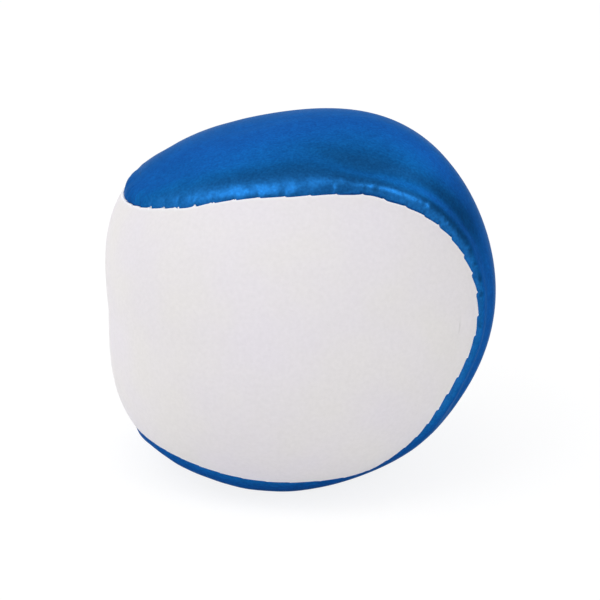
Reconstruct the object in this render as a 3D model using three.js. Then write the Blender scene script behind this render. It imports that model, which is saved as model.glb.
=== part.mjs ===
// A two-panel footbag: a white and a blue dumbbell panel of leatherette, sewn edge to edge round pellets.
// Millimetres, +Z up, and -Y is the front. The origin is on the surface it rests on, under its middle.

import * as THREE from 'three';
import { mergeVertices } from 'three/addons/utils/BufferGeometryUtils.js';

const { degToRad, radToDeg, euclideanModulo, lerp, smoothstep } = THREE.MathUtils;

// Slumped body: a ball that stands proud along its stiff seam and is pressed flat where it rests
const FACE_RADIUS = 25.6; // from the body's centre to the middle of a panel's lobe
const RIDGE_HEIGHT = 1.7; // how far the seam stands proud of the lobes
const RIDGE_SPREAD = 24; // degrees from the seam over which that ridge fades
const SETTLE_DEPTH = 2.2; // how much of the underside the bag's own weight presses flat
const REST_ROUNDING = 0.8; // how gently the skin turns into that flat

// Swellings and hollows of the slumped body, each towards an angle in the upright left-right plane, from +X
const SLUMPS = [
  { at: 0, spread: 30, rise: 1.1 }, // right side
  { at: 58, spread: 38, rise: 3.2 }, // right shoulder
  { at: 92, spread: 40, rise: -2.9 }, // sunken crown
  { at: 183, spread: 27, rise: -1.6 }, // flattened left side
  { at: 285, spread: 28, rise: -2.3 }, // tucked underside
];

// Seam line: the closed curve of a tennis ball, hand-sewn and so a little out of true
const WAIST_ANGLE = 32; // degrees from the middle of a panel's waist to the seam
const LOBE_SQUARENESS = 0.1; // how square the ends of the lobes are cut
const SEAM_FORWARD = 0.5; // the whole seam sits this far forward
const SEAM_LIFT = 0.4; // and this far up
const SEAM_YAW = 4.5; // degrees that the seam is turned about Z
const SEAM_PITCH = -2.5; // degrees about X
const SEAM_ROLL = -1; // degrees about Y
const PULL_DISTANCE = 3.8; // the front lobe's lower right corner is drawn in this far
const PULL_AT = -14; // degrees along the seam
const PULL_SPREAD = 11.5; // degrees along the seam

// Panels
const PANEL_THICKNESS = 1.0;
const FOLD_RADIUS = 0.8; // outside radius of the folded edge
const SEAM_GAP = 0.3; // between the two folded edges
const RAW_EDGE = 1.4; // seam allowance left beyond the needle holes

// Stitching
const STITCH_PITCH = 2.8;
const THREAD_DIAMETER = 0.45;
const NEEDLE_CLEARANCE = 0.3; // round the thread in its hole, and between a stitch and the panel beside it
const HOLE_MARGIN = 0.25; // from the fold to the rim of a needle hole
const CLOSING_LENGTH = 25; // gap that the filling went in by, sewn shut last
const KNOT_DIAMETER = 1.3;
const KNOT_LENGTH = 1.0;

// Filling
const PELLET_DIAMETER = 4.8;
const PELLET_RELIEF = 0.9; // from the crown of an outer pellet down to where it meets the next
const FILL_CLEARANCE = 0.45;

// Fineness of the facets
const SEAM_SAMPLES = 720;
const SEARCH_TILT = 40; // degrees from straight down within which the lowest point is looked for
const SEARCH_TURN = 5; // degrees
const RUNG_STEPS = 10; // steps across a panel, from seam to seam
const FOLD_STEPS = 2;
const THREAD_SIDES = 5;

const threadRadius = THREAD_DIAMETER / 2;
const knotRadius = KNOT_DIAMETER / 2;
const needleHole = THREAD_DIAMETER + 2 * NEEDLE_CLEARANCE;
const holeRoom = Math.max(needleHole / 2 + HOLE_MARGIN, knotRadius + NEEDLE_CLEARANCE);
const stitchDepth = Math.max(PANEL_THICKNESS, FOLD_RADIUS) + holeRoom;
const allowanceDepth = stitchDepth + needleHole / 2 + RAW_EDGE;
const frontFace = SEAM_GAP / 2; // from the seam to the facing side of an allowance
const backFace = frontFace + PANEL_THICKNESS;
const seamTurn = new THREE.Euler(degToRad(SEAM_PITCH), degToRad(SEAM_ROLL), degToRad(SEAM_YAW), 'ZXY');

// A bump of height 1 that fades with distance
function bump(distance, spread) {
  return Math.exp(-((distance / spread) ** 2));
}

// Direction from the body's centre to the seam, at an angle along the seam
function seamDirection(along) {
  const wide = (1 + Math.sin(degToRad(WAIST_ANGLE))) / 2;
  const narrow = 1 - wide;
  const square = 1 + LOBE_SQUARENESS * Math.cos(4 * along);
  const fromPull = euclideanModulo(radToDeg(along) - PULL_AT + 180, 360) - 180;
  const forward = SEAM_FORWARD + PULL_DISTANCE * bump(fromPull, PULL_SPREAD);
  const point = new THREE.Vector3(
    2 * Math.sqrt(wide * narrow) * Math.cos(2 * along),
    -square * (wide * Math.cos(along) - narrow * Math.cos(3 * along)) - forward / FACE_RADIUS,
    square * (wide * Math.sin(along) + narrow * Math.sin(3 * along)) + SEAM_LIFT / FACE_RADIUS,
  );
  return point.applyEuler(seamTurn).normalize();
}

const seamSamples = Array.from({ length: SEAM_SAMPLES }, (_, i) =>
  seamDirection((2 * Math.PI * i) / SEAM_SAMPLES));

// Degrees from a direction to the nearest point of the seam
function seamAngle(direction) {
  const nearest = seamSamples.reduce((best, sample) => Math.max(best, sample.dot(direction)), -1);
  return radToDeg(Math.acos(Math.min(1, nearest)));
}

// Radius of the full body, before its underside settles
function fullRadius(direction) {
  let radius = FACE_RADIUS + RIDGE_HEIGHT * bump(seamAngle(direction), RIDGE_SPREAD);
  for (const { at, spread, rise } of SLUMPS) {
    const towards = new THREE.Vector3(Math.cos(degToRad(at)), 0, Math.sin(degToRad(at)));
    radius += rise * bump(radToDeg(direction.angleTo(towards)), spread);
  }
  return radius;
}

// How far the full body reaches below its centre, searched in directions up to a tilt from straight down
function fullDepth() {
  const direction = new THREE.Vector3();
  let deepest = 0;
  for (let tilt = 0; tilt <= SEARCH_TILT; tilt += 1) {
    for (let turn = 0; turn < 360; turn += SEARCH_TURN) {
      const out = Math.sin(degToRad(tilt));
      const down = Math.cos(degToRad(tilt));
      direction.set(out * Math.cos(degToRad(turn)), out * Math.sin(degToRad(turn)), -down);
      deepest = Math.max(deepest, fullRadius(direction) * down);
    }
  }
  return deepest;
}

const restDepth = fullDepth() - SETTLE_DEPTH;

// Radius of the settled body
function bodyRadius(direction) {
  const full = fullRadius(direction);
  if (direction.z >= 0) {
    return full;
  }
  const flat = -restDepth / direction.z;
  const turn = Math.max(REST_ROUNDING - Math.abs(full - flat), 0);
  return Math.min(full, flat) - turn ** 2 / (4 * REST_ROUNDING);
}

function seamLength() {
  const points = seamSamples.map((direction) => direction.clone().multiplyScalar(bodyRadius(direction)));
  return points.reduce((length, point, i) => length + point.distanceTo(points.at(i - 1)), 0);
}

// Stations along the seam, with one stitch between each two, and the way across it to the white panel
const stitchCount = 4 * Math.round(seamLength() / (4 * STITCH_PITCH));
const stations = Array.from({ length: stitchCount }, (_, i) => {
  const halfStep = Math.PI / stitchCount;
  const along = 2 * halfStep * i;
  const direction = seamDirection(along);
  const ahead = seamDirection(along + halfStep).sub(seamDirection(along - halfStep));
  return { direction, radius: bodyRadius(direction), toWhite: direction.clone().cross(ahead).normalize() };
});

// Point beside a station, some way towards the white panel and some depth below the surface
function seamPoint(index, towardsWhite, depth) {
  const { direction, radius, toWhite } = stations[euclideanModulo(index, stitchCount)];
  return direction.clone().multiplyScalar(radius - depth).addScaledVector(toWhite, towardsWhite);
}

// The same between a station and the next, by default half way, where the needle goes through
function stitchPoint(index, towardsWhite, depth = stitchDepth, share = 0.5) {
  return seamPoint(index, towardsWhite, depth).lerp(seamPoint(index + 1, towardsWhite, depth), share);
}

// Vertices and triangles of one closed body
class Facets {
  points = [];
  triangles = [];

  point(position) {
    return this.points.push(position) - 1;
  }

  triangle(a, b, c) {
    if (a !== b && b !== c && c !== a) {
      this.triangles.push([a, b, c]);
    }
  }

  quad(a, b, c, d) {
    this.triangle(a, b, c);
    this.triangle(a, c, d);
  }

  // Band between two closed loops of as many points, such as a face's corners and those of a hole in it
  band(from, to) {
    from.forEach((corner, i) => {
      const next = (i + 1) % from.length;
      this.quad(corner, from[next], to[next], to[i]);
    });
  }

  // Six times the volume, negative where the faces point inwards
  signedVolume() {
    const normal = new THREE.Vector3();
    return this.triangles.reduce((sum, [a, b, c]) => {
      normal.crossVectors(this.points[b], this.points[c]);
      return sum + this.points[a].dot(normal);
    }, 0);
  }

  geometry() {
    const inwards = this.signedVolume() < 0;
    const index = this.triangles.flatMap(([a, b, c]) => (inwards ? [a, c, b] : [a, b, c]));
    const geometry = new THREE.BufferGeometry().setFromPoints(this.points).setIndex(index);
    geometry.computeVertexNormals();
    return geometry;
  }
}

// Direction at a share of the great circle from one direction to another
function between(from, to, share) {
  const angle = from.angleTo(to);
  const direction = from.clone().multiplyScalar(Math.sin((1 - share) * angle));
  return direction.addScaledVector(to, Math.sin(share * angle)).normalize();
}

// Surface inside a loop of seam points: rungs cross it from seam to seam, from one lobe's end to the other's
function addPatch(facets, loop, depth, firstStation, facesIn) {
  const rungs = [];
  for (let j = 0; j <= stitchCount / 2; j++) {
    const start = loop[euclideanModulo(firstStation + j, stitchCount)];
    const end = loop[euclideanModulo(firstStation - j, stitchCount)];
    const rung = [start];
    for (let step = 1; step < RUNG_STEPS && start !== end; step++) {
      const from = facets.points[start].clone().normalize();
      const to = facets.points[end].clone().normalize();
      const direction = between(from, to, step / RUNG_STEPS);
      rung.push(facets.point(direction.clone().multiplyScalar(bodyRadius(direction) - depth)));
    }
    rungs.push([...rung, end]);
  }
  const corner = (j, step) => rungs[j][Math.min(step, rungs[j].length - 1)];
  for (let j = 0; j < stitchCount / 2; j++) {
    for (let step = 0; step < RUNG_STEPS; step++) {
      const near = [corner(j, step), corner(j, step + 1)];
      const far = [corner(j + 1, step + 1), corner(j + 1, step)];
      const corners = [...near, ...far];
      facets.quad(...(facesIn ? corners.reverse() : corners));
    }
  }
}

// Corners of the square needle hole of one stitch, on one face of an allowance
function holeCorners(facets, index, towardsWhite) {
  const half = needleHole / 2;
  const start = seamPoint(index, towardsWhite, stitchDepth);
  const width = start.distanceTo(seamPoint(index + 1, towardsWhite, stitchDepth));
  const corners = [[-half, -half], [half, -half], [half, half], [-half, half]];
  return corners.map(([along, down]) =>
    facets.point(stitchPoint(index, towardsWhite, stitchDepth + down, 0.5 + along / width)));
}

// A dumbbell panel whose edge is folded into the seam, with a needle hole for each stitch.
// side is 1 for the white panel and -1 for the blue one, and firstStation is at the end of one of its lobes.
function panelGeometry(side, firstStation) {
  const facets = new Facets();
  const loop = (across, depth) => stations.map((_, i) => facets.point(seamPoint(i, side * across, depth)));
  const edge = stations.map((_, i) => {
    const direction = seamPoint(i, side * (frontFace + FOLD_RADIUS), 0).normalize();
    return facets.point(direction.multiplyScalar(bodyRadius(direction)));
  });
  addPatch(facets, edge, 0, firstStation, false);

  let fold = edge;
  for (let step = 1; step <= FOLD_STEPS; step++) {
    const turn = (Math.PI / 2) * (step / FOLD_STEPS);
    const next = loop(frontFace + FOLD_RADIUS * (1 - Math.sin(turn)), FOLD_RADIUS * (1 - Math.cos(turn)));
    facets.band(fold, next);
    fold = next;
  }

  const tipFront = loop(frontFace, allowanceDepth);
  const tipBack = loop(backFace, allowanceDepth);
  const innerEdge = loop(backFace, PANEL_THICKNESS);
  facets.band(tipFront, tipBack);
  for (let i = 0; i < stitchCount; i++) {
    const next = (i + 1) % stitchCount;
    const front = holeCorners(facets, i, side * frontFace);
    const back = holeCorners(facets, i, side * backFace);
    facets.band([fold[i], fold[next], tipFront[next], tipFront[i]], front);
    facets.band(front, back);
    facets.band([tipBack[i], tipBack[next], innerEdge[next], innerEdge[i]], back.toReversed());
  }
  addPatch(facets, innerEdge, PANEL_THICKNESS, firstStation, true);
  return facets.geometry();
}

// A stitch runs straight past each station behind an allowance, so it clears the deepest corner there
function deepestCorner() {
  const reach = backFace + NEEDLE_CLEARANCE + threadRadius;
  const depths = stations.flatMap((_, i) => [-reach, reach].map((across) => {
    const chord = stitchPoint(i - 1, across).lerp(stitchPoint(i, across), 0.5);
    return chord.distanceTo(seamPoint(i, across, stitchDepth));
  }));
  return Math.max(...depths);
}

const stitchReach = backFace + NEEDLE_CLEARANCE + threadRadius + deepestCorner();

// Bead of a knot behind a needle hole, from its far end to the allowance
function knot(index, side) {
  const shape = [
    { share: 1, radius: threadRadius },
    { share: 2 / 3, radius: knotRadius },
    { share: 1 / 3, radius: knotRadius },
    { share: 0, radius: threadRadius },
  ];
  return shape.map(({ share, radius }) => {
    const across = side * (backFace + NEEDLE_CLEARANCE + share * KNOT_LENGTH);
    return { point: stitchPoint(index, across), radius };
  });
}

// Running stitch through a row of needle holes: to and fro through both allowances, between two knots
function threadPath(firstHole, holeCount) {
  const lastHole = firstHole + holeCount - 1;
  const path = knot(firstHole, 1);
  let side = -1;
  for (let hole = firstHole; hole < lastHole; hole++) {
    path.push({ point: stitchPoint(hole, side * stitchReach), radius: threadRadius });
    path.push({ point: stitchPoint(hole + 1, side * stitchReach), radius: threadRadius });
    side = -side;
  }
  return [...path, ...knot(lastHole, side).reverse()];
}

// Round thread along a path of straight stretches, mitred where it turns
function threadGeometry(path) {
  const facets = new Facets();
  const ways = path.slice(1).map(({ point }, i) => point.clone().sub(path[i].point).normalize());
  const across = new THREE.Vector3(0, 0, 1).cross(ways[0]).normalize();
  const spokes = Array.from({ length: THREAD_SIDES }, (_, n) =>
    across.clone().applyAxisAngle(ways[0], (2 * Math.PI * n) / THREAD_SIDES));
  const rings = path.map(({ point, radius }, i) => {
    const wayIn = ways[Math.max(i - 1, 0)];
    const wayOut = ways[Math.min(i, ways.length - 1)];
    const mitre = wayIn.clone().add(wayOut).normalize();
    return spokes.map((spoke) => {
      spoke.addScaledVector(wayIn, -spoke.dot(mitre) / wayIn.dot(mitre));
      const corner = facets.point(point.clone().addScaledVector(spoke, radius));
      spoke.addScaledVector(wayOut, -spoke.dot(wayOut));
      return corner;
    });
  });
  rings.slice(1).forEach((ring, i) => facets.band(rings[i], ring));
  const [firstRing, lastRing] = [rings[0], rings.at(-1)];
  for (let n = 1; n < THREAD_SIDES - 1; n++) {
    facets.triangle(firstRing[0], firstRing[n + 1], firstRing[n]);
    facets.triangle(lastRing[0], lastRing[n], lastRing[n + 1]);
  }
  return facets.geometry();
}

// Radius of the filling, which stays clear of the panels, their allowances and the stitches behind these
function fillRadius(direction) {
  const stitchSpace = Math.max(stitchReach + threadRadius, backFace + NEEDLE_CLEARANCE + KNOT_LENGTH);
  const clearHalf = stitchSpace + FILL_CLEARANCE + PELLET_DIAMETER / 2;
  const radius = bodyRadius(direction);
  const fromSeam = degToRad(seamAngle(direction)) * radius;
  const away = smoothstep(fromSeam, clearHalf, clearHalf + PELLET_DIAMETER);
  return radius - lerp(allowanceDepth, PANEL_THICKNESS, away) - FILL_CLEARANCE;
}

// Filling whose outer pellets lie on an icosahedron's lattice, with crowns on its points and dips between.
// A lattice of n rows has about 10 n * n points, and each takes a hexagon as wide as a pellet.
function fillGeometry() {
  const hexagon = Math.sin(Math.PI / 3) * PELLET_DIAMETER ** 2;
  const rows = Math.round(Math.sqrt((4 * Math.PI * FACE_RADIUS ** 2) / (10 * hexagon)));
  const lattice = new THREE.IcosahedronGeometry(1, rows - 1);
  lattice.deleteAttribute('normal');
  lattice.deleteAttribute('uv');
  const { index, attributes } = mergeVertices(lattice);
  const facets = new Facets();
  const place = (direction, dip) =>
    facets.point(direction.clone().multiplyScalar(fillRadius(direction) - dip));
  const directions = Array.from({ length: attributes.position.count }, (_, i) =>
    new THREE.Vector3().fromBufferAttribute(attributes.position, i).normalize());
  const crowns = directions.map((direction) => place(direction, 0));
  const dips = new Map();
  const dip = (a, b) => {
    const key = `${Math.min(a, b)} ${Math.max(a, b)}`;
    if (!dips.has(key)) {
      dips.set(key, place(between(directions[a], directions[b], 0.5), PELLET_RELIEF));
    }
    return dips.get(key);
  };
  for (let i = 0; i < index.count; i += 3) {
    const [a, b, c] = [index.getX(i), index.getX(i + 1), index.getX(i + 2)];
    facets.triangle(crowns[a], dip(a, b), dip(c, a));
    facets.triangle(crowns[b], dip(b, c), dip(a, b));
    facets.triangle(crowns[c], dip(c, a), dip(b, c));
    facets.triangle(dip(a, b), dip(b, c), dip(c, a));
  }
  return facets.geometry();
}

function piece(name, geometry, color, roughness) {
  const mesh = new THREE.Mesh(geometry, new THREE.MeshStandardMaterial({ color, roughness, metalness: 0 }));
  mesh.name = name;
  return mesh;
}

// The filling gap is at the back, half way round the seam from the right end of the front lobe
const closingHoles = Math.round(CLOSING_LENGTH / STITCH_PITCH);
const firstClosingHole = stitchCount / 2 - Math.floor(closingHoles / 2);
const closingPath = threadPath(firstClosingHole, closingHoles);
const seamPath = threadPath(firstClosingHole + closingHoles, stitchCount - closingHoles);

const footbag = new THREE.Group();
footbag.add(
  piece('white_panel', panelGeometry(1, 0), '#e3e0e3', 0.55),
  piece('blue_panel', panelGeometry(-1, -stitchCount / 4), '#14589f', 0.4),
  piece('seam_thread', threadGeometry(seamPath), '#eeecea', 0.8),
  piece('closing_thread', threadGeometry(closingPath), '#eeecea', 0.8),
  piece('pellet_fill', fillGeometry(), '#d8d4c8', 0.5),
);

// Stand the bag on the surface it rests on, with its middle over the origin
const box = new THREE.Box3().setFromObject(footbag);
const middle = box.getCenter(new THREE.Vector3());
footbag.position.set(-middle.x, -middle.y, restDepth);

export default footbag;
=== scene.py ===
"""Looks of a two-panel footbag: sewn leatherette panels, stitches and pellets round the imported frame.

Lengths are in millimetres from the body's centre, with -Y at the front, until a mesh is made in metres.
"""
import math

import bpy
import numpy as np
from mathutils import Euler, Matrix, Vector


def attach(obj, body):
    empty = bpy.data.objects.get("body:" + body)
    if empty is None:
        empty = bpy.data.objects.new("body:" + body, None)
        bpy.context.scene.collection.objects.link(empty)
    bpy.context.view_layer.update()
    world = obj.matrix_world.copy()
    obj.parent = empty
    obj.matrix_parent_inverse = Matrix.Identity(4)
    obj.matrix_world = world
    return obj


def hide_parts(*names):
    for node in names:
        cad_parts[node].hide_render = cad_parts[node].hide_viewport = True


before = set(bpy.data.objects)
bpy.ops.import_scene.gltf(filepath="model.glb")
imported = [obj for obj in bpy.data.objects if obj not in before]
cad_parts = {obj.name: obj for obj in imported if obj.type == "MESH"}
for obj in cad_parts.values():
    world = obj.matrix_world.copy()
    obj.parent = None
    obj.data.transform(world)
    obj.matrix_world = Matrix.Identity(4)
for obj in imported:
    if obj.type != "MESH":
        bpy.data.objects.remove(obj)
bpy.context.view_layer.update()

MM = 0.001

# Slumped body, as in the CAD model
FACE_RADIUS = 25.6
RIDGE_HEIGHT = 1.7
RIDGE_SPREAD = 24
SETTLE_DEPTH = 2.2
REST_ROUNDING = 0.8
SLUMPS = (
    (0, 30, 1.1),     # right side: angle in the left-right plane, spread in degrees, rise
    (58, 38, 3.2),    # right shoulder
    (92, 40, -2.9),   # sunken crown
    (183, 27, -1.6),  # flattened left side
    (285, 28, -2.3),  # tucked underside
)
RIDGE_SAMPLES = 720       # points of the seam from which the ridge is measured
UNDERSIDE_REACH = 40      # degrees from straight down within which the lowest point is looked for
UNDERSIDE_STEPS = (1, 5)  # degrees outwards and round
LEAST_DOWN = 1e-6         # stands in for the downward part of directions that don't point down

# Seam line, as in the CAD model
WAIST_ANGLE = 32
LOBE_SQUARENESS = 0.1
SEAM_FORWARD = 0.5
SEAM_LIFT = 0.4
SEAM_YAW = 4.5
SEAM_PITCH = -2.5
SEAM_ROLL = -1
PULL_DISTANCE = 3.8
PULL_AT = -14
PULL_SPREAD = 11.5
STITCH_COUNT = 96
CLOSING_STITCHES = 9

# Panels
PANEL_THICKNESS = 1.0
ALLOWANCE_DEPTH = 3.9
LINING_SINK = 0.4  # how far the lining lies under the panel's own thickness, clear of the rolls
LIP_DEPTH = 0.6    # how far down the fold the edge's steps go
SEAM_GAP = 0.08

# White edge, which lies a little proud
WHITE_ROLL = (0.35, 0.14)  # width beside the seam, depth at the seam
FULL_ROLL = (0.6, 0.25)    # the same on the right, where the edge is fuller
FULL_SWELL = (0.4, 3.0)    # of the fuller edge: height, reach from the seam
FULL_AT = 4                # in degrees along the seam
FULL_SPREAD = 14
TUCK_SWELL = (0.36, 5.5, 7.0)  # beside the blue edge's tuck: height, spread in degrees, reach from the seam
PAINTED_HIGHLIGHT_WIDTH = 0.28           # of the painted highlight along the fold
EDGE_STEP = 0.12           # step at a stitch, from which the edge slants to the next
PULLED_STEP = 0.42         # the same on the right, where the seam is pulled forward
PIP_REACH = 0.12           # how far the edge is drawn into the blue at a stitch
PIP_WIDTH = 0.08           # in stitches
END_CALM = 0.5             # share by which the pips are smaller round the ends of the lobes
STEP_FADE = 0.8            # distance over which the steps and pips die away
EDGE_SHIFTS = (
    (-0.33, 45.5, 5),  # where the sewn edge wanders: distance towards the blue, place and spread in degrees
    (0.3, 34.5, 2),
    (-0.22, 63, 3),
)

# Blue edge: width and depth of its roll, height of the crest, and the valley's distance, spread and depth
LOOSE_ROLL = (3.7, 0.85, 0.16, 7.2, 2.6, 0.08)  # on the left
SNUG_ROLL = (1.9, 1.4, 0.26, 4.0, 1.6, 0.26)    # on the right, where the seam is pulled tight
END_ROLL = (1.4, 0.3, 0.25, 6.0, 2.4, 0.05)     # round the ends of the lobes on the far left
TUCKED_ROLL = (9.0, 1.9, 0.0, 6.5, 4.0, 0.05)   # under the front
SNUG_FROM = 0.35           # share of the way to the right at which the roll is fully snug
END_FROM = (0.45, 0.8)     # shares of the way to the left between which it becomes the end's
TUCK_AT = -36              # in degrees along the seam
TUCK_SPREAD = 12
CREST_PLACE = 1.1          # distance of the crest from the seam, in widths of the roll
CREST_SPREAD = 0.8         # in widths of the roll
CREST_CHANGE = 0.35        # how much the crest's height changes from stitch to stitch

# Stitches and the small folds that they draw
STITCH_STRENGTHS = (0.2, 1.3)
STITCH_OFFSET = 0.08       # how far a stitch may lie off its place, in stitches
WHITE_PUCKER = (1.0, 0.03)  # reach from the seam, depth
BLUE_PUCKER = (1.2, 0.06)
PUCKER_WIDTH = 0.14        # in stitches
PUCKER_REST = 0.25         # share by which the panel swells between the stitches
PUCKER_START = 0.3         # distance from the seam at which the folds are whole
WRINKLE_COUNT = 30         # waves along the seam that add up to the wrinkles across the blue edge
WRINKLE_LENGTHS = (0.9, 3.2)     # of the waves
WRINKLE_HEIGHT = (0.014, 0.032)  # on the left, on the right
WRINKLE_AT = 1.0           # distance from the seam
WRINKLE_SPREAD = 0.9

# Thread
THREAD_RADIUS = 0.16
THREAD_SIDES = 8
THREAD_TWIST = 2.2         # radians per millimetre
PLY_DEPTH = 0.16           # how far the two plies stand out, in radii
THREAD_SLANT = 0.25        # along the seam, to either side of a stitch's middle
THREAD_STEPS = 5           # between two points of the thread's path
BEHIND_CLEARANCE = 0.25    # between the thread and the allowances, behind them
HOLE_DEPTH = 1.95          # of the needle holes under the body's surface
OVER_WHITE = ((0.5, 0.85), (0.2, 0.6))  # points in the white edge: distance from the seam, depth
OVER_BLUE = (0.05, 0.22)   # distances from the seam at which it lies on the blue edge
BLUE_ENTRY = (0.5, 0.45)   # where it has gone into the blue edge: distance from the seam, how much deeper
THREAD_SINK = (1.4, 0.8)   # depth in the blue edge, in radii: at no strength, and how much less at strength 1
END_SINK = 0.22            # how much deeper the stitches lie round the ends of the lobes
KNOT = (1.6, 3.0, 2.0)     # at the thread's ends: added thickness in radii, place and spread in steps
OFF_THE_PATH = (0.3, 0.5, 0.8)  # a direction that the thread doesn't start in

# Pellets
PELLET_DIAMETER = 4.8
PELLET_FLATNESS = 0.8
PELLET_BOXINESS = 0.8      # power under 1 that squares the round shape a little
PELLET_SPACING = 1.02      # in diameters
PELLET_RINGS = 5
PELLET_SIDES = 8
PACKING_MARGIN = 3         # layers of places that are tried beyond the body
ALLOWANCE_REACH = 4.5      # distance from the seam within which pellets stay under the allowances
LINING_CLEARANCE = 0.7     # added to the panels' thickness elsewhere
PELLET_GAP = 0.3

# Fineness
SAMPLES_PER_STITCH = 20
BORDER_WIDTH = 3.6         # of the rings of faces along the seam
BORDER_RINGS = 16
BORDER_CROWDING = 1.6      # power that crowds the rings towards the seam
OUTER_COLUMNS = 56
INNER_COLUMNS = 6
BATCH = 4000               # directions that are compared at a time
SEED = 7

# Colours of the materials: where there are two, a noise runs between them
WHITE_TINTS = ((0.8, 0.768, 0.815), (0.81, 0.785, 0.78))
WHITE_SPECKS = ((0.96, 0.96, 0.96), (1, 1, 1))
# painted highlight: the lighter colour that the white panel takes along its fold
WHITE_FOLD_HIGHLIGHT = (0.95, 0.96, 1.0)
BLUE_TONES = ((0.0105, 0.129, 0.4), (0.0117, 0.143, 0.445))
BLUE_SPECKS = ((0.73, 0.755, 0.78), (1.14, 1.13, 1.11))
BLUE_PATCHES = ((0.905, 0.91, 0.92), (1.055, 1.055, 1.045))
BLUE_EDGE_TINT = (0.14, 0.35, 0.61, 1.0)
THREAD_TONES = ((0.8, 0.79, 0.79), (0.9, 0.9, 0.91))
PELLET_TONES = ((0.6, 0.57, 0.48), (0.72, 0.69, 0.62))
RAMP_ENDS = (0.3, 0.7)

# Camera
CAMERA_ELEVATION = 20
CAMERA_LENS = 100
SENSOR_WIDTH = 36
CLIP_START = 0.01          # in metres
CAMERA_DISTANCE = 225.3
FRAME_SHIFT = (1.35, -0.5)  # the camera's place right of and above the line to the body's centre

# Light: 1 is the level where a white surface renders full white
TENT_LEVEL = 1.05
DARK_PARTS = (
    (0, 90, 20, 60, 0.36),   # above: azimuth, elevation, half angles of the dark part and its change, level
    (104, 4, 26, 42, 0.03),  # low on the right
    (0, 20, 16, 38, 0.35),   # in front
)
LAMPS = (
    ("left", -75, 43, 0.15, 0.05),  # azimuth, elevation, size in metres, level
    ("upper_left", -48, 57, 0.2, 0.19),
    ("upper_front", 0, 67, 0.15, 0.06),
    ("front_right", 52, 37, 0.2, 0.15),
    ("back_left", -145, 34, 0.35, 0.03),
    ("back", 180, 32, 0.35, 0.05),
    ("back_right", 138, 28, 0.3, 0.06),
)
LAMP_DISTANCE = 0.5        # in metres

# Floor: it glows for the rays that show it, and the rest of what they see is the lit floor with its shadow
FLOOR_COLOUR = (0.96, 0.96, 0.96, 1)
FLOOR_GLOW = 1.06
GLOW_SHARES = (("Is Camera Ray", 0.8), ("Is Glossy Ray", 0.25), ("Is Transmission Ray", 0.25))
FLOOR_HALF = 2.0           # half its side, in metres

random = np.random.default_rng(SEED)
stitch_strength = random.uniform(*STITCH_STRENGTHS, STITCH_COUNT)
stitch_offset = random.uniform(-STITCH_OFFSET, STITCH_OFFSET, STITCH_COUNT)
stitch_fullness = random.uniform(1 - CREST_CHANGE, 1 + CREST_CHANGE, STITCH_COUNT)


def fade(distance, spread):
    """1 at no distance, falling smoothly towards 0 over about two spreads."""
    return np.exp(-(distance / spread) ** 2)


def nearness(along, at, spread):
    """1 at a place along the seam, given in degrees, fading to 0 beside it."""
    return fade((np.degrees(along) - at + 180) % 360 - 180, spread)


def smooth_step(share):
    share = np.clip(share, 0, 1)
    return share * share * (3 - 2 * share)


def between(low, high, share):
    return low + (high - low) * share


def unit(vectors):
    return vectors / np.linalg.norm(vectors, axis=-1, keepdims=True)


def seam_directions(along):
    """Directions from the body's centre to the seam, at angles along the seam."""
    wide = (1 + math.sin(math.radians(WAIST_ANGLE))) / 2
    narrow = 1 - wide
    square = 1 + LOBE_SQUARENESS * np.cos(4 * along)
    forward = SEAM_FORWARD + PULL_DISTANCE * nearness(along, PULL_AT, PULL_SPREAD)
    points = np.stack([
        2 * math.sqrt(wide * narrow) * np.cos(2 * along),
        -square * (wide * np.cos(along) - narrow * np.cos(3 * along)) - forward / FACE_RADIUS,
        square * (wide * np.sin(along) + narrow * np.sin(3 * along)) + SEAM_LIFT / FACE_RADIUS,
    ], axis=1)
    yaw = Matrix.Rotation(math.radians(SEAM_YAW), 3, "Z")
    pitch = Matrix.Rotation(math.radians(SEAM_PITCH), 3, "X")
    lean = Matrix.Rotation(math.radians(SEAM_ROLL), 3, "Y")
    return unit(points @ np.array(yaw @ pitch @ lean).T)


def nearest(directions, targets):
    """Angle in radians to the nearest target, and its index."""
    angle = np.empty(len(directions))
    index = np.empty(len(directions), int)
    for start in range(0, len(directions), BATCH):
        batch = slice(start, start + BATCH)
        best = (directions[batch] @ targets.T).argmax(axis=1)
        chord = np.linalg.norm(directions[batch] - targets[best], axis=1)
        index[batch] = best
        angle[batch] = 2 * np.arcsin(np.minimum(chord / 2, 1))
    return angle, index


seam_samples = seam_directions(np.linspace(0, 2 * np.pi, RIDGE_SAMPLES, endpoint=False))


def full_radius(directions):
    """Radius of the body before its underside settles."""
    angle, _ = nearest(directions, seam_samples)
    radius = FACE_RADIUS + RIDGE_HEIGHT * fade(np.degrees(angle), RIDGE_SPREAD)
    for at, spread, rise in SLUMPS:
        towards = np.array([math.cos(math.radians(at)), 0, math.sin(math.radians(at))])
        away = np.degrees(np.arccos(np.clip(directions @ towards, -1, 1)))
        radius = radius + rise * fade(away, spread)
    return radius


def full_depth():
    """How far the body reaches under its centre before its underside settles."""
    tilts = np.radians(np.arange(0, UNDERSIDE_REACH + 1, UNDERSIDE_STEPS[0]))
    turns = np.radians(np.arange(0, 360, UNDERSIDE_STEPS[1]))
    tilt, turn = (grid.ravel() for grid in np.meshgrid(tilts, turns))
    down = np.cos(tilt)
    directions = np.stack([np.sin(tilt) * np.cos(turn), np.sin(tilt) * np.sin(turn), -down], axis=1)
    return (full_radius(directions) * down).max()


rest_depth = full_depth() - SETTLE_DEPTH


def body_radius(directions):
    """Radius of the body, with a flat patch where it rests and a rounded turn into it."""
    full = full_radius(directions)
    flat = rest_depth / np.maximum(-directions[:, 2], LEAST_DOWN)
    turn = np.maximum(REST_ROUNDING - np.abs(full - flat), 0)
    return np.minimum(full, flat) - turn ** 2 / (4 * REST_ROUNDING)


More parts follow.
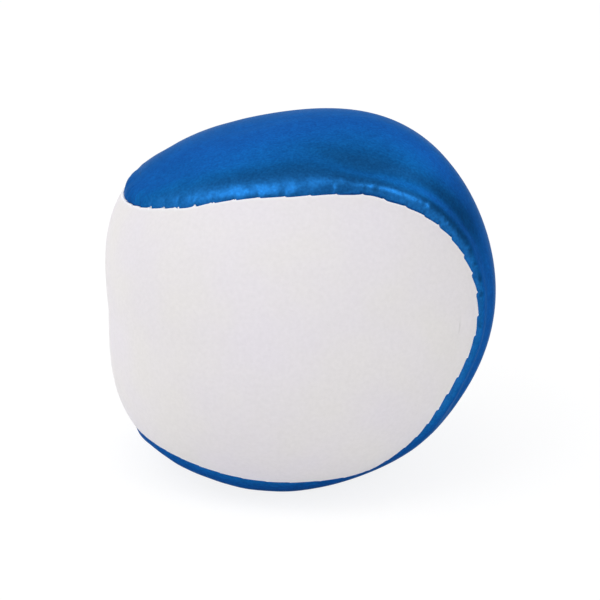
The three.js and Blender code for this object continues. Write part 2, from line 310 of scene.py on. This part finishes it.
class Seam:
    """The crease between the panels, sampled finely, and what changes along it."""

    def __init__(self):
        self.count = STITCH_COUNT * SAMPLES_PER_STITCH
        step = 2 * np.pi / self.count
        along = step * np.arange(self.count)
        self.line = seam_directions(along)
        onwards = seam_directions(along + step) - seam_directions(along - step)
        self.to_white = unit(np.cross(self.line, onwards))
        self.ahead = unit(np.cross(self.to_white, self.line))
        self.radius = body_radius(self.line)
        self.set_stitches()
        self.set_edges(along)
        self.set_wrinkles(along)

    def set_stitches(self):
        """Phase within a stitch, the stitch's strength, and how full the crest is."""
        stitch = np.arange(self.count) / SAMPLES_PER_STITCH - 0.5
        number = np.round(stitch).astype(int) % STITCH_COUNT
        self.phase = stitch - np.round(stitch) - stitch_offset[number]
        self.strength = stitch_strength[number]
        before = np.floor(stitch).astype(int)
        here, there = (stitch_fullness[place % STITCH_COUNT] for place in (before, before + 1))
        self.fullness = between(here, there, smooth_step(stitch - before))

    def set_edges(self, along):
        """Shares of the edges' kinds, and how far the white edge reaches into the blue."""
        right = self.line[:, 0]
        self.snug = smooth_step(right / SNUG_FROM)
        self.end = smooth_step((-right - END_FROM[0]) / (END_FROM[1] - END_FROM[0]))
        self.tuck = nearness(along, TUCK_AT, TUCK_SPREAD)
        self.swell = TUCK_SWELL[0] * nearness(along, TUCK_AT, TUCK_SWELL[1])
        self.full = nearness(along, FULL_AT, FULL_SPREAD)
        pulled = np.maximum(nearness(along, PULL_AT, PULL_SPREAD), self.full)
        pips = PIP_REACH * self.strength * (1 - END_CALM * self.end) * fade(self.phase, PIP_WIDTH)
        self.reach = pips + between(EDGE_STEP, PULLED_STEP, pulled) * (0.5 - self.phase % 1)
        for shift, at, spread in EDGE_SHIFTS:
            self.reach = self.reach + shift * nearness(along, at, spread)

    def set_wrinkles(self, along):
        """Sum of waves of different lengths, which stands for fine wrinkles along the blue edge."""
        length = np.linalg.norm(np.diff(self.line * self.radius[:, None], axis=0), axis=1).sum()
        waves = np.round(length / random.uniform(*WRINKLE_LENGTHS, WRINKLE_COUNT))
        shifts = random.uniform(0, 2 * np.pi, WRINKLE_COUNT)
        self.wrinkle = np.sin(along[:, None] * waves + shifts).sum(axis=1) * math.sqrt(2 / WRINKLE_COUNT)

    def point(self, index, across, depth, along=0.0, drawn=1.0):
        """Points beside seam samples: a way towards the white panel, a depth and a way along the seam.

        drawn is the share of the white edge's reach into the blue that they take part in.
        """
        index = np.asarray(index) % self.count

        def column(value):
            return np.broadcast_to(np.asarray(value, float), index.shape)[..., None]

        return (self.line[index] * column(self.radius[index] - depth)
                + self.to_white[index] * column(across - drawn * self.reach[index])
                + self.ahead[index] * column(along))


seam = Seam()


def roll(distance, width, depth):
    """Quarter ellipse by which a folded edge turns down into the seam."""
    share = np.clip(1 - distance / width, 0, 1)
    return -depth * (1 - np.sqrt(np.maximum(1 - share ** 2, 0)))


def edge_profile(distance, index, white):
    """Height of a panel's folded edge over the plain body, at distances from seam samples."""
    if white:
        full = seam.full[index]
        width, depth = (between(plain, fuller, full) for plain, fuller in zip(WHITE_ROLL, FULL_ROLL))
        swell = seam.swell[index] * fade(distance, TUCK_SWELL[2])
        return roll(distance, width, depth) + swell + FULL_SWELL[0] * full * fade(distance, FULL_SWELL[1])
    shape = LOOSE_ROLL
    for share, other in ((seam.snug, SNUG_ROLL), (seam.end, END_ROLL), (seam.tuck, TUCKED_ROLL)):
        shape = [between(now, then, share[index]) for now, then in zip(shape, other)]
    width, depth, swell, away, spread, sink = shape
    crest = swell * seam.fullness[index] * fade(distance - CREST_PLACE * width, CREST_SPREAD * width)
    valley = sink * fade(distance - away, spread)
    return roll(distance, width, depth) + crest - valley


def puckers(distance, white):
    """Depth of the small folds that the stitches draw into a panel, at one distance from the seam."""
    reach, pinch = WHITE_PUCKER if white else BLUE_PUCKER
    pull = seam.strength * fade(seam.phase, PUCKER_WIDTH) - PUCKER_REST
    folds = pinch * pull * fade(distance, reach)
    if not white:
        height = between(*WRINKLE_HEIGHT, seam.snug)
        folds = folds + height * seam.wrinkle * fade(distance - WRINKLE_AT, WRINKLE_SPREAD)
    return folds * min(distance / PUCKER_START, 1)


def settled(directions, height):
    """Points of the skin so high over the plain body, and nowhere under the surface that it rests on."""
    points = directions * (body_radius(directions) + height)[:, None]
    points[:, 2] = np.maximum(points[:, 2], -rest_depth)
    return points


class Shell:
    """Vertices and faces of one panel."""

    def __init__(self):
        self.points = []
        self.faces = []
        self.total = 0

    def add(self, points):
        """Takes points in and gives their indices."""
        self.points.append(points)
        self.total += len(points)
        return np.arange(self.total - len(points), self.total)

    def band(self, upper, lower):
        """Joins two loops by a ring of faces."""
        quads = np.stack([upper, np.roll(upper, -1), np.roll(lower, -1), lower], axis=1)
        self.faces.extend(quads.tolist())

    def patch(self, loop, first, columns, surface, facing):
        """Fills a loop with rungs from seam to seam, from one lobe's end to the other's."""
        half = len(loop) // 2
        points = np.concatenate(self.points)
        rung = np.arange(1, half)
        left, right = loop[(first + rung) % len(loop)], loop[(first - rung) % len(loop)]
        start, end = unit(points[left]), unit(points[right])
        angle = np.arccos(np.clip((start * end).sum(axis=1), -1, 1))[:, None, None]
        share = (np.arange(1, columns) / columns)[None, :, None]
        inner = start[:, None] * np.sin((1 - share) * angle) + end[:, None] * np.sin(share * angle)
        new = self.add(surface(unit(inner).reshape(-1, 3))).reshape(half - 1, columns - 1)
        grid = np.concatenate([left[:, None], new, right[:, None]], axis=1)
        quads = np.stack([grid[:-1, :-1], grid[:-1, 1:], grid[1:, 1:], grid[1:, :-1]], axis=-1).reshape(-1, 4)
        tips = [loop[first % len(loop)], loop[(first + half) % len(loop)]]
        near = [[tips[0], b, a] for a, b in zip(grid[0, :-1], grid[0, 1:])]
        far = [[a, b, tips[1]] for a, b in zip(grid[-1, :-1], grid[-1, 1:])]
        made = quads.tolist() + near + far
        self.faces.extend(made if facing > 0 else [face[::-1] for face in made])


def panel_shell(white):
    """A closed panel: outer skin, folded edge, seam allowance and lining side."""
    side = 1 if white else -1
    first = 0 if white else -seam.count // 4
    every = np.arange(seam.count)
    lining_depth = PANEL_THICKNESS + LINING_SINK
    gap = side * SEAM_GAP / 2
    back = side * (SEAM_GAP / 2 + PANEL_THICKNESS)
    shell = Shell()

    def skin_ring(distance):
        across = seam.radius * np.tan(side * (SEAM_GAP / 2 + distance) / seam.radius)
        beside = seam.point(every, across, 0, drawn=fade(distance, STEP_FADE))
        height = edge_profile(distance, every, white) - puckers(distance, white)
        return shell.add(settled(unit(beside), height))

    def outer(directions):
        angle, index = nearest(directions, seam.line)
        distance = angle * body_radius(directions) - SEAM_GAP / 2
        return settled(directions, edge_profile(distance, index, white))

    def lining(directions):
        return directions * (body_radius(directions) - lining_depth)[:, None]

    distances = BORDER_WIDTH * (np.arange(BORDER_RINGS + 1) / BORDER_RINGS) ** BORDER_CROWDING
    loops = [skin_ring(distance) for distance in distances[::-1]]
    shell.patch(loops[0], first, OUTER_COLUMNS, outer, 1)
    edge_depth = -edge_profile(0.0, every, white)
    loops.append(shell.add(seam.point(every, gap, edge_depth + LIP_DEPTH)))
    loops.append(shell.add(seam.point(every, gap, ALLOWANCE_DEPTH, drawn=0)))
    loops.append(shell.add(seam.point(every, back, ALLOWANCE_DEPTH, drawn=0)))
    loops.append(shell.add(lining(unit(seam.point(every, back, lining_depth, drawn=0)))))
    for upper, lower in zip(loops[:-1], loops[1:]):
        shell.band(upper, lower)
    shell.patch(loops[-1], first, INNER_COLUMNS, lining, -1)
    return np.concatenate(shell.points), shell.faces


def mark_painted_highlight(piece, points):
    """Gives a panel's vertices their nearness to the fold, along which a lighter colour is painted as a
    highlight.
    """
    radius = np.linalg.norm(points, axis=1)
    fold = unit(seam.point(np.arange(seam.count), 0, 0))
    angle, _ = nearest(points / radius[:, None], fold)
    # painted highlight: this nearness to the fold makes the colour lighter there
    painted_highlight = piece.data.attributes.new("painted_highlight", "FLOAT", "POINT")
    painted_highlight.data.foreach_set("value", fade(angle * radius, PAINTED_HIGHLIGHT_WIDTH))


def signed_volume(points, faces):
    """Positive where the faces look outwards, by the first triangle of each face."""
    corners = np.array([face[:3] for face in faces])
    a, b, c = (points[corners[:, place]] for place in range(3))
    return (a * np.cross(b, c)).sum()


def make_object(name, points, faces, material):
    if signed_volume(points, faces) < 0:
        faces = [face[::-1] for face in faces]
    mesh = bpy.data.meshes.new(name)
    mesh.from_pydata((points + body_centre) * MM, [], faces)
    mesh.validate()
    mesh.polygons.foreach_set("use_smooth", [True] * len(mesh.polygons))
    mesh.materials.append(material)
    piece = bpy.data.objects.new(name, mesh)
    bpy.context.collection.objects.link(piece)
    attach(piece, "root")
    return piece


def smooth_path(points, steps):
    """Catmull-Rom curve through points, with so many steps between each two."""
    padded = np.concatenate([points[:1], points, points[-1:]])[:, None]
    before, start, end, after = padded[:-3], padded[1:-2], padded[2:-1], padded[3:]
    share = (np.arange(steps) / steps)[None, :, None]
    curve = 0.5 * (2 * start + (end - before) * share
                   + (2 * before - 5 * start + 4 * end - after) * share ** 2
                   + (3 * start - before - 3 * end + after) * share ** 3)
    return np.concatenate([curve.reshape(-1, 3), points[-1:]])


def tube(path, radii):
    """Two-ply thread along a path: a lobed section that twists as it goes, closed at both ends."""
    ways = unit(np.gradient(path, axis=0))
    normal = unit(np.cross(ways[0], OFF_THE_PATH))
    length = np.concatenate([[0], np.cumsum(np.linalg.norm(np.diff(path, axis=0), axis=1))])
    turns = 2 * np.pi * np.arange(THREAD_SIDES) / THREAD_SIDES
    rings = []
    for way, centre, radius, at in zip(ways, path, radii, length):
        normal = unit(normal - way * normal.dot(way))
        other = np.cross(way, normal)
        lobes = radius * (1 + PLY_DEPTH * np.cos(2 * (turns - THREAD_TWIST * at)))
        section = np.cos(turns)[:, None] * normal + np.sin(turns)[:, None] * other
        rings.append(centre + lobes[:, None] * section)
    points = np.concatenate(rings)
    faces = []
    for ring in range(len(path) - 1):
        for side in range(THREAD_SIDES):
            here = ring * THREAD_SIDES + side
            beside = ring * THREAD_SIDES + (side + 1) % THREAD_SIDES
            faces.append([here, beside, beside + THREAD_SIDES, here + THREAD_SIDES])
    faces.append(list(range(THREAD_SIDES))[::-1])
    faces.append(list(range(len(points) - THREAD_SIDES, len(points))))
    return points, faces


def thread(first_stitch, count):
    """Thread through a run of stitches: over the crease at each, and behind the allowances between them."""
    behind = SEAM_GAP / 2 + PANEL_THICKNESS + THREAD_RADIUS + BEHIND_CLEARANCE
    crease, reach = OVER_BLUE
    path = []
    side = 1
    for stitch in range(first_stitch, first_stitch + count):
        index = int((stitch + 0.5) * SAMPLES_PER_STITCH) % seam.count
        sink = THREAD_RADIUS * (THREAD_SINK[0] - THREAD_SINK[1] * stitch_strength[stitch % STITCH_COUNT])
        sink = sink + END_SINK * seam.end[index]
        landing = sink - edge_profile(reach, index, False)
        bottom = sink - edge_profile(crease, index, False)
        over_blue = [(-crease, bottom), (-reach, landing), (-BLUE_ENTRY[0], landing + BLUE_ENTRY[1])]
        over = [(behind, HOLE_DEPTH), *OVER_WHITE, *over_blue, (-behind, HOLE_DEPTH)]
        slants = np.linspace(-THREAD_SLANT, THREAD_SLANT, len(over))
        crossing = [seam.point(index, across, depth, along) for (across, depth), along in zip(over, slants)]
        path.extend(crossing if side > 0 else crossing[::-1])
        side = -side
    path = smooth_path(np.array(path), THREAD_STEPS)
    from_end = np.minimum(np.arange(len(path)), np.arange(len(path))[::-1])
    thickness, place, spread = KNOT
    return tube(path, THREAD_RADIUS * (1 + thickness * fade(from_end - place, spread)))


def pellet_places():
    """Centres of pellets in close packing, clear of the lining and of the allowances."""
    pitch = PELLET_DIAMETER * PELLET_SPACING
    reach = int(FACE_RADIUS / pitch) + PACKING_MARGIN
    column, row, layer = np.meshgrid(*[np.arange(-reach, reach + 1)] * 3, indexing="ij")
    x = 2 * column + (row + layer) % 2
    y = math.sqrt(3) * (row + (layer % 2) / 3)
    z = 2 * math.sqrt(6) / 3 * layer
    places = np.stack([x.ravel(), y.ravel(), z.ravel()], axis=1) * pitch / 2
    places = places[places.any(axis=1)]  # the body's centre is left out, because no direction leads to it
    directions = unit(places)
    angle, _ = nearest(directions, seam_samples)
    room = body_radius(directions)
    skin = np.where(angle * room < ALLOWANCE_REACH, ALLOWANCE_DEPTH, PANEL_THICKNESS + LINING_CLEARANCE)
    room = room - skin - PELLET_DIAMETER / 2 - PELLET_GAP
    return places[np.linalg.norm(places, axis=1) < room]


def pellet_ball():
    """One pellet: a flattened ball, a little boxy."""
    points = [[0, 0, 1]]
    for tilt in np.pi * np.arange(1, PELLET_RINGS) / PELLET_RINGS:
        for turn in 2 * np.pi * np.arange(PELLET_SIDES) / PELLET_SIDES:
            points.append([math.sin(tilt) * math.cos(turn), math.sin(tilt) * math.sin(turn), math.cos(tilt)])
    points.append([0, 0, -1])
    boxy = np.sign(points) * np.abs(points) ** PELLET_BOXINESS
    points = boxy * np.array([1, 1, PELLET_FLATNESS]) * PELLET_DIAMETER / 2
    points /= np.linalg.norm(points, axis=1).max() / (PELLET_DIAMETER / 2)
    faces = [[0, 1 + side, 1 + (side + 1) % PELLET_SIDES] for side in range(PELLET_SIDES)]
    for ring in range(PELLET_RINGS - 2):
        for side in range(PELLET_SIDES):
            here = 1 + ring * PELLET_SIDES + side
            beside = 1 + ring * PELLET_SIDES + (side + 1) % PELLET_SIDES
            faces.append([here, here + PELLET_SIDES, beside + PELLET_SIDES, beside])
    last = len(points) - 1
    above = last - PELLET_SIDES
    faces += [[last, above + (side + 1) % PELLET_SIDES, above + side] for side in range(PELLET_SIDES)]
    return points, faces


def pellets():
    """Loose pellets inside the panels, each turned its own way."""
    draw = np.random.default_rng(SEED + 1)
    ball, ball_faces = pellet_ball()
    points, faces = [], []
    for number, place in enumerate(pellet_places()):
        turned = Euler(draw.uniform(0, 2 * np.pi, 3)).to_matrix()
        points.append(ball @ np.array(turned).T + place)
        faces.extend([[corner + number * len(ball) for corner in face] for face in ball_faces])
    return np.concatenate(points), faces


class Nodes:
    """A short way to build a material's nodes."""

    MIX_INPUTS = (0, 6, 7)  # factor and the two colours
    MIX_OUTPUT = 2

    def __init__(self, name):
        self.material = bpy.data.materials.new(name)
        self.material.use_nodes = True
        self.tree = self.material.node_tree
        self.shader = self.tree.nodes["Principled BSDF"]
        self.place = self.add("ShaderNodeTexCoord").outputs["Object"]

    def add(self, kind, **values):
        node = self.tree.nodes.new(kind)
        for key, value in values.items():
            if key in node.inputs:
                node.inputs[key].default_value = value
            else:
                setattr(node, key, value)
        return node

    def link(self, output, socket):
        self.tree.links.new(output, socket)

    def noise(self, size_mm, detail=2.0):
        node = self.add("ShaderNodeTexNoise", Scale=1 / (size_mm * MM), Detail=detail)
        self.link(self.place, node.inputs["Vector"])
        return node.outputs["Fac"]

    def grain(self, size_mm):
        node = self.add("ShaderNodeTexVoronoi", Scale=1 / (size_mm * MM))
        self.link(self.place, node.inputs["Vector"])
        return node.outputs["Distance"]

    def ramp(self, factor, low, high):
        node = self.add("ShaderNodeValToRGB")
        for element, place, colour in zip(node.color_ramp.elements, RAMP_ENDS, (low, high)):
            element.position = place
            element.color = (*colour, 1)
        self.link(factor, node.inputs["Fac"])
        return node.outputs["Color"]

    def mix(self, factor, low, high, blend="MIX"):
        node = self.add("ShaderNodeMix", data_type="RGBA", blend_type=blend)
        for value, place in zip((factor, low, high), self.MIX_INPUTS):
            socket = node.inputs[place]
            if isinstance(value, bpy.types.NodeSocket):
                self.link(value, socket)
            else:
                socket.default_value = value if isinstance(value, (int, float)) else (*value, 1)
        return node.outputs[self.MIX_OUTPUT]

    def span(self, factor, low, high):
        node = self.add("ShaderNodeMapRange")
        node.inputs["To Min"].default_value = low
        node.inputs["To Max"].default_value = high
        self.link(factor, node.inputs["Value"])
        return node.outputs["Result"]

    def bump(self, height, depth_mm, strength, under=None):
        node = self.add("ShaderNodeBump", Strength=strength, Distance=depth_mm * MM)
        self.link(height, node.inputs["Height"])
        if under is not None:
            self.link(under, node.inputs["Normal"])
        return node.outputs["Normal"]


def white_leatherette():
    look = Nodes("white_leatherette")
    tint = look.ramp(look.noise(size_mm=11), *WHITE_TINTS)
    specks = look.ramp(look.noise(size_mm=0.5, detail=3), *WHITE_SPECKS)
    # painted highlight: towards the fold the base colour turns lighter
    painted_highlight = look.add("ShaderNodeAttribute", attribute_name="painted_highlight").outputs["Fac"]
    plain = look.mix(1.0, tint, specks, "MULTIPLY")
    look.link(look.mix(painted_highlight, plain, WHITE_FOLD_HIGHLIGHT), look.shader.inputs["Base Color"])
    look.link(look.span(look.noise(size_mm=0.7), low=0.5, high=0.62), look.shader.inputs["Roughness"])
    pebble = look.bump(look.grain(size_mm=0.55), depth_mm=0.05, strength=0.25)
    uneven = look.bump(look.noise(size_mm=5), depth_mm=0.15, strength=0.25, under=pebble)
    look.link(uneven, look.shader.inputs["Normal"])
    look.shader.inputs["Specular IOR Level"].default_value = 0.3
    return look.material


def blue_leatherette():
    look = Nodes("blue_leatherette")
    tone = look.ramp(look.noise(size_mm=6, detail=3), *BLUE_TONES)
    specks = look.ramp(look.noise(size_mm=0.32, detail=3), *BLUE_SPECKS)
    patches = look.ramp(look.noise(size_mm=1.3), *BLUE_PATCHES)
    speckled = look.mix(1.0, specks, patches, "MULTIPLY")
    look.link(look.mix(1.0, tone, speckled, "MULTIPLY"), look.shader.inputs["Base Color"])
    look.link(look.span(look.noise(size_mm=0.6), low=0.3, high=0.38), look.shader.inputs["Roughness"])
    pebble = look.bump(look.grain(size_mm=0.5), depth_mm=0.05, strength=0.2)
    uneven = look.bump(look.noise(size_mm=3, detail=3), depth_mm=0.12, strength=0.2, under=pebble)
    look.link(uneven, look.shader.inputs["Normal"])
    look.shader.inputs["Metallic"].default_value = 0.7
    look.shader.inputs["Specular IOR Level"].default_value = 0.0
    look.shader.inputs["Specular Tint"].default_value = BLUE_EDGE_TINT
    look.shader.inputs["Coat Weight"].default_value = 0.03
    look.shader.inputs["Coat Roughness"].default_value = 0.38
    return look.material


def white_thread():
    look = Nodes("white_thread")
    look.link(look.ramp(look.noise(size_mm=0.3), *THREAD_TONES), look.shader.inputs["Base Color"])
    fuzz = look.bump(look.noise(size_mm=0.1), depth_mm=0.03, strength=0.5)
    look.link(fuzz, look.shader.inputs["Normal"])
    look.shader.inputs["Roughness"].default_value = 0.75
    return look.material


def pellet_plastic():
    look = Nodes("pellet_plastic")
    look.link(look.ramp(look.noise(size_mm=8), *PELLET_TONES), look.shader.inputs["Base Color"])
    uneven = look.bump(look.noise(size_mm=0.6), depth_mm=0.05, strength=0.3)
    look.link(uneven, look.shader.inputs["Normal"])
    look.shader.inputs["Roughness"].default_value = 0.45
    return look.material


def glow_share(tree):
    """How much of the floor's glow a ray shows: straight, reflected or seen through."""
    path = tree.nodes.new("ShaderNodeLightPath")
    total = None
    for name, share in GLOW_SHARES:
        node = tree.nodes.new("ShaderNodeMath")
        node.operation = "MULTIPLY_ADD"
        node.inputs[1].default_value = share
        node.inputs[2].default_value = 0
        tree.links.new(path.outputs[name], node.inputs[0])
        if total is not None:
            tree.links.new(total, node.inputs[2])
        total = node.outputs[0]
    return total


def floor_material():
    material = bpy.data.materials.new("floor")
    material.use_nodes = True
    tree = material.node_tree
    tree.nodes.clear()
    diffuse = tree.nodes.new("ShaderNodeBsdfDiffuse")
    diffuse.inputs["Color"].default_value = FLOOR_COLOUR
    glow = tree.nodes.new("ShaderNodeEmission")
    glow.inputs["Strength"].default_value = FLOOR_GLOW
    mix = tree.nodes.new("ShaderNodeMixShader")
    tree.links.new(glow_share(tree), mix.inputs["Fac"])
    tree.links.new(diffuse.outputs[0], mix.inputs[1])
    tree.links.new(glow.outputs[0], mix.inputs[2])
    output = tree.nodes.new("ShaderNodeOutputMaterial")
    tree.links.new(mix.outputs[0], output.inputs["Surface"])
    return material


def make_floor():
    corners = [(x * FLOOR_HALF, y * FLOOR_HALF, 0) for x, y in ((-1, -1), (1, -1), (1, 1), (-1, 1))]
    mesh = bpy.data.meshes.new("floor")
    mesh.from_pydata(corners, [], [[0, 1, 2, 3]])
    mesh.materials.append(floor_material())
    floor = bpy.data.objects.new("floor", mesh)
    bpy.context.collection.objects.link(floor)


def direction_at(azimuth, elevation):
    """Direction from the body: azimuth from the front towards the right, elevation from the floor."""
    turn, rise = math.radians(azimuth), math.radians(elevation)
    return Vector((math.sin(turn) * math.cos(rise), -math.cos(turn) * math.cos(rise), math.sin(rise)))


def make_world():
    """A pale tent, darker above, low on the right and in front."""
    world = bpy.data.worlds.new("studio")
    bpy.context.scene.world = world
    world.use_nodes = True
    tree = world.node_tree
    place = tree.nodes.new("ShaderNodeTexCoord")
    around = None
    for azimuth, elevation, dark, change, level in DARK_PARTS:
        towards = tree.nodes.new("ShaderNodeVectorMath")
        towards.operation = "DOT_PRODUCT"
        towards.inputs[1].default_value = direction_at(azimuth, elevation)
        tree.links.new(place.outputs["Generated"], towards.inputs[0])
        part = tree.nodes.new("ShaderNodeMapRange")
        part.interpolation_type = "SMOOTHSTEP"
        part.inputs["From Min"].default_value = math.cos(math.radians(change))
        part.inputs["From Max"].default_value = math.cos(math.radians(dark))
        part.inputs["To Min"].default_value = TENT_LEVEL
        part.inputs["To Max"].default_value = level
        tree.links.new(towards.outputs["Value"], part.inputs["Value"])
        if around is not None:
            tree.links.new(around, part.inputs["To Min"])
        around = part.outputs["Result"]
    tree.links.new(around, tree.nodes["Background"].inputs["Strength"])
    tree.nodes["Background"].inputs["Color"].default_value = (1, 1, 1, 1)


def area_light(name, azimuth, elevation, size, level):
    """Soft box aimed at the body, with the level of light that it gives a white surface facing it."""
    back = direction_at(azimuth, elevation)
    data = bpy.data.lights.new(name, "AREA")
    data.shape = "SQUARE"
    data.size = size
    data.energy = level * (math.pi * LAMP_DISTANCE) ** 2
    lamp = bpy.data.objects.new(name, data)
    lamp.location = Vector(body_centre * MM) + back * LAMP_DISTANCE
    lamp.rotation_euler = back.to_track_quat("Z", "Y").to_euler()
    bpy.context.collection.objects.link(lamp)


def make_camera():
    elevation = math.radians(CAMERA_ELEVATION)
    back = np.array([0, -math.cos(elevation), math.sin(elevation)])
    up = np.array([0, math.sin(elevation), math.cos(elevation)])
    right = np.array([1, 0, 0])
    place = body_centre + back * CAMERA_DISTANCE + right * FRAME_SHIFT[0] + up * FRAME_SHIFT[1]
    data = bpy.data.cameras.new("camera")
    data.lens = CAMERA_LENS
    data.sensor_width = SENSOR_WIDTH
    data.clip_start = CLIP_START
    camera = bpy.data.objects.new("camera", data)
    camera.location = Vector(place * MM)
    camera.rotation_euler = Vector(back).to_track_quat("Z", "Y").to_euler()
    bpy.context.collection.objects.link(camera)
    bpy.context.scene.camera = camera


white_points, white_faces = panel_shell(True)
blue_points, blue_faces = panel_shell(False)
every_point = np.concatenate([white_points, blue_points])
middle = (every_point.min(axis=0) + every_point.max(axis=0)) / 2
body_centre = np.array([-middle[0], -middle[1], rest_depth])

make_camera()
make_floor()
make_world()
for lamp in LAMPS:
    area_light(*lamp)

white = make_object("white_skin", white_points, white_faces, white_leatherette())
mark_painted_highlight(white, white_points)
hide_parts("white_panel")

blue = make_object("blue_skin", blue_points, blue_faces, blue_leatherette())
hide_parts("blue_panel")

first_closing = STITCH_COUNT // 2 - CLOSING_STITCHES // 2
thread_look = white_thread()
seam_run = thread(first_closing + CLOSING_STITCHES, STITCH_COUNT - CLOSING_STITCHES)
stitches = make_object("seam_stitches", *seam_run, thread_look)
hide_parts("seam_thread")
closing = make_object("closing_stitches", *thread(first_closing, CLOSING_STITCHES), thread_look)
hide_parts("closing_thread")

filling = make_object("pellets", *pellets(), pellet_plastic())
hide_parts("pellet_fill")

bpy.context.scene.view_settings.view_transform = "Standard"
